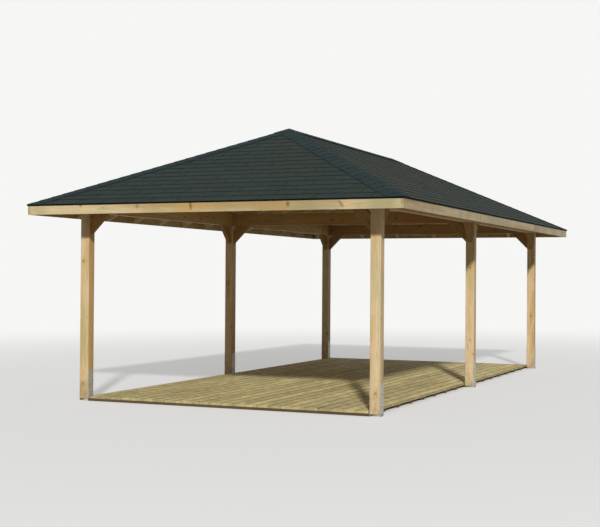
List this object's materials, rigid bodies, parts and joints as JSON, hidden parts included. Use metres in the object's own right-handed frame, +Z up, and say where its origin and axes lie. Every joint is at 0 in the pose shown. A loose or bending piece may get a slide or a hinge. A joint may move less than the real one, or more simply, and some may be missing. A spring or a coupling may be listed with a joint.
{
  "type": "open timber pavilion with hipped shingle roof",
  "caption": "Open timber carport or garden pavilion: posts with knee braces, ring beams, hipped shingle roof with fascia and a low boarded floor.",
  "frame": {"origin": "on the ground under the middle of the roof", "axes": "X across the short side, Y along the long side from front to back, +Z up"},
  "size_m": [4.73, 8.83, 3.4402],
  "materials": {
    "post_wood": "planed pressure-treated pine, satin",
    "beam_wood": "planed pressure-treated pine, matt",
    "brace_wood": "planed pressure-treated pine, matt",
    "rafter_wood": "planed pine, matt",
    "roof_board_wood": "tongue and groove pine boards, matt",
    "fascia_wood": "planed pressure-treated pine, satin",
    "deck_wood": "grooved pressure-treated pine, matt",
    "joist_wood": "rough pressure-treated pine, matt",
    "shingle": "bitumen shingle with slate granules, matt",
    "cap_shingle": "bitumen shingle with slate granules, matt",
    "anchor_steel": "hot-dip galvanised"
  },
  "bodies": {
    "root": {"beam_back": "beam_wood", "beam_front": "beam_wood", "beam_left": "beam_wood", "beam_middle": "beam_wood", "beam_right": "beam_wood", "braces_back_left": "brace_wood", "braces_back_right": "brace_wood", "braces_front_left": "brace_wood", "braces_front_right": "brace_wood", "braces_middle_left": "brace_wood", "braces_middle_right": "brace_wood", "deck_boards": "deck_wood", "deck_joists": "joist_wood", "fascia_back": "fascia_wood", "fascia_front": "fascia_wood", "fascia_left": "fascia_wood", "fascia_right": "fascia_wood", "hip_caps": "cap_shingle", "hip_rafter_back_left": "rafter_wood", "hip_rafter_back_right": "rafter_wood", "hip_rafter_front_left": "rafter_wood", "hip_rafter_front_right": "rafter_wood", "post_anchors": "anchor_steel", "post_back_left": "post_wood", "post_back_right": "post_wood", "post_front_left": "post_wood", "post_front_right": "post_wood", "post_middle_left": "post_wood", "post_middle_right": "post_wood", "rafters_back": "rafter_wood", "rafters_front": "rafter_wood", "rafters_left": "rafter_wood", "rafters_right": "rafter_wood", "ridge_board": "rafter_wood", "ridge_cap": "cap_shingle", "roof_boards_back": "roof_board_wood", "roof_boards_front": "roof_board_wood", "roof_boards_left": "roof_board_wood", "roof_boards_right": "roof_board_wood", "shingles_back": "shingle", "shingles_front": "shingle", "shingles_left": "shingle", "shingles_right": "shingle"}
  },
  "joints": []
}
